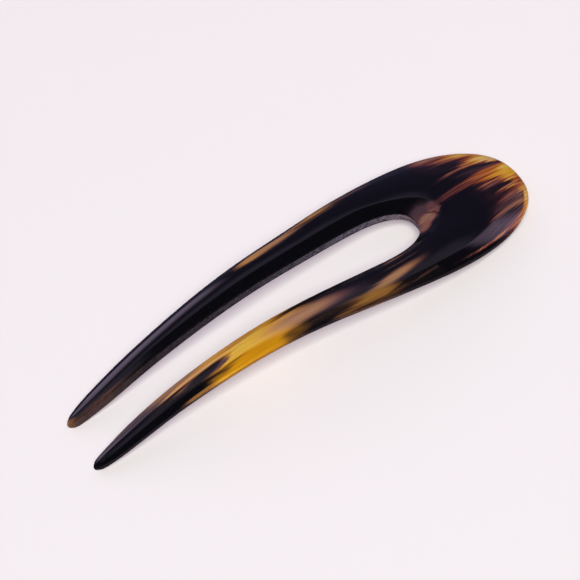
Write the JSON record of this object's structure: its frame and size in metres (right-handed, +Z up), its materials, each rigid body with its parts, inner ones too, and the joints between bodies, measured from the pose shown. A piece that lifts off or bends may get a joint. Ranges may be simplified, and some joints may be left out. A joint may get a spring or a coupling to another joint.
{
  "type": "french hair pin",
  "caption": "Bowed hair pin of polished horn: a broad rounded head with tapering prongs, and a slot with a bevelled edge between them.",
  "frame": {"origin": "on the table, under the middle of the pin as it lies bow upwards on its two tips and the end of its head", "axes": "+X runs from the tips of the prongs to the head, +Y runs across the pin and +Z is up, through its thickness at the top of the bow"},
  "size_m": [0.135, 0.0404, 0.014],
  "materials": {
    "horn": "polished natural horn, near black with amber, brown and milky yellow zones that run with the grain"
  },
  "bodies": {
    "root": {"pin": "horn"}
  },
  "joints": []
}
